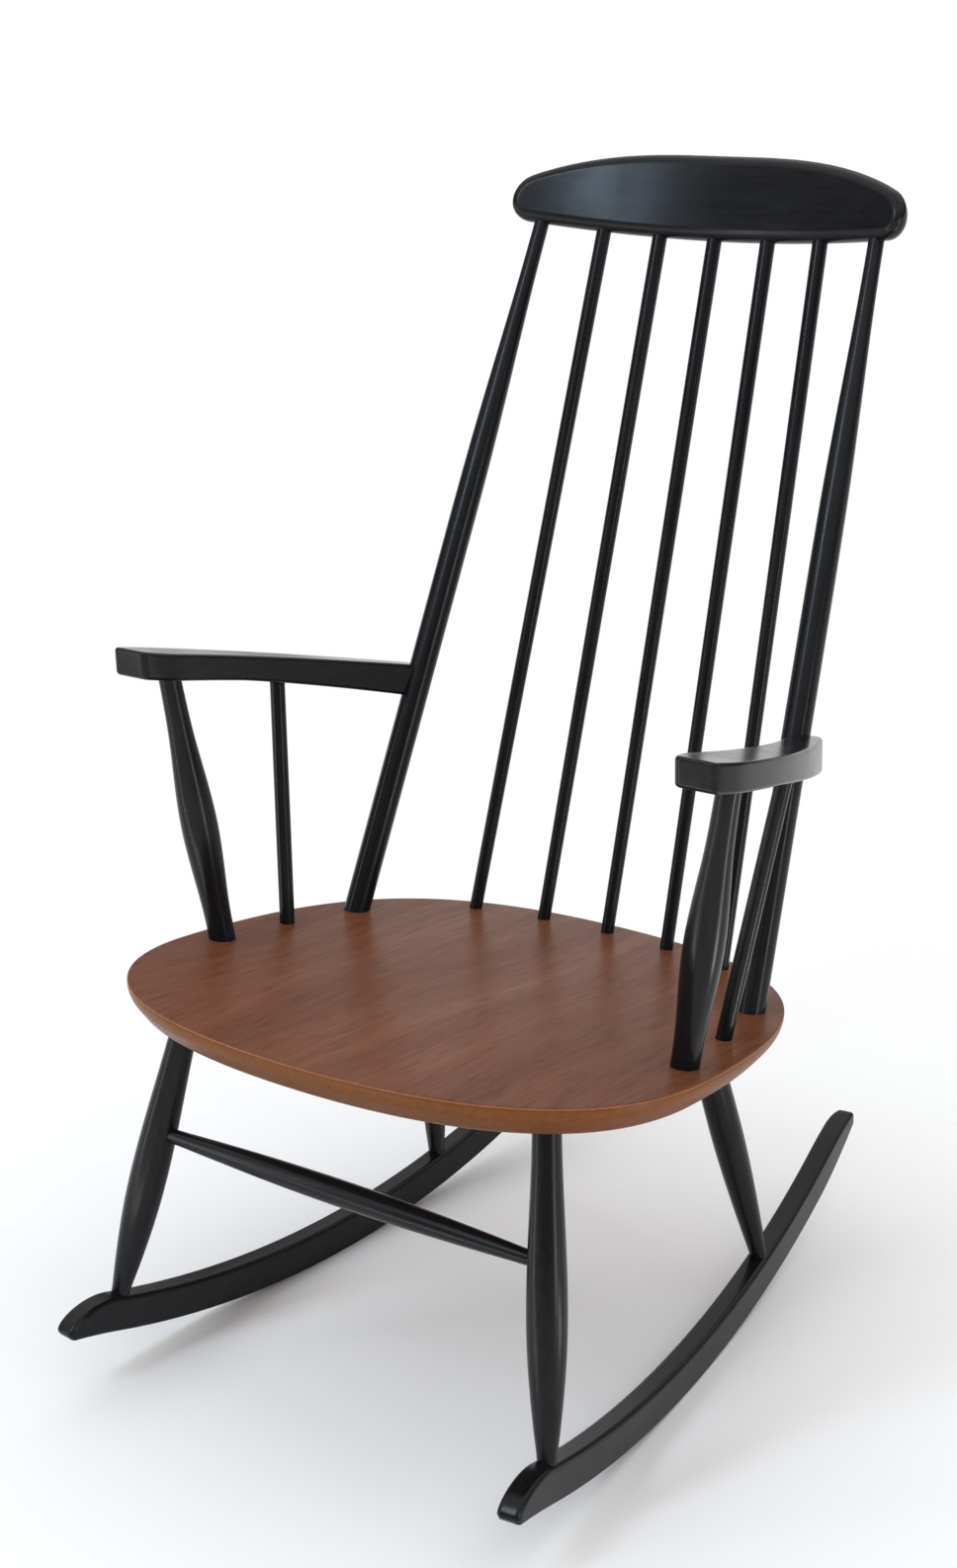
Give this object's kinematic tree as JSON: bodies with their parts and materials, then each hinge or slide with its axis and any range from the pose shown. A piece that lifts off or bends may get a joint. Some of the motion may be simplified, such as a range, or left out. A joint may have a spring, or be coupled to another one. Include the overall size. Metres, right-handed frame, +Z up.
{
  "type": "teak rocking chair",
  "caption": "Spindle-back rocking chair with a teak board seat, a bowed crest rail, arms on turned supports and splayed legs on two curved rockers.",
  "frame": {"origin": "on the floor under the middle of the chair's box, between the two rockers", "axes": "+Z up, the chair faces -Y, +X is the sitter's left"},
  "size_m": [0.6362, 0.7626, 1.0555],
  "materials": {
    "teak_seat": "satin oiled teak, grain from front to back",
    "black_lacquer": "satin black lacquer over turned hardwood"
  },
  "bodies": {
    "root": {"seat": "teak_seat", "crest_rail": "black_lacquer", "back_post_left": "black_lacquer", "back_post_right": "black_lacquer", "back_spindle_1": "black_lacquer", "back_spindle_2": "black_lacquer", "back_spindle_3": "black_lacquer", "back_spindle_4": "black_lacquer", "back_spindle_5": "black_lacquer", "arm_left": "black_lacquer", "arm_right": "black_lacquer", "arm_support_left": "black_lacquer", "arm_support_right": "black_lacquer", "arm_spindle_left": "black_lacquer", "arm_spindle_right": "black_lacquer", "front_leg_left": "black_lacquer", "front_leg_right": "black_lacquer", "rear_leg_left": "black_lacquer", "rear_leg_right": "black_lacquer", "front_stretcher": "black_lacquer", "rocker_left": "black_lacquer", "rocker_right": "black_lacquer"}
  },
  "joints": []
}
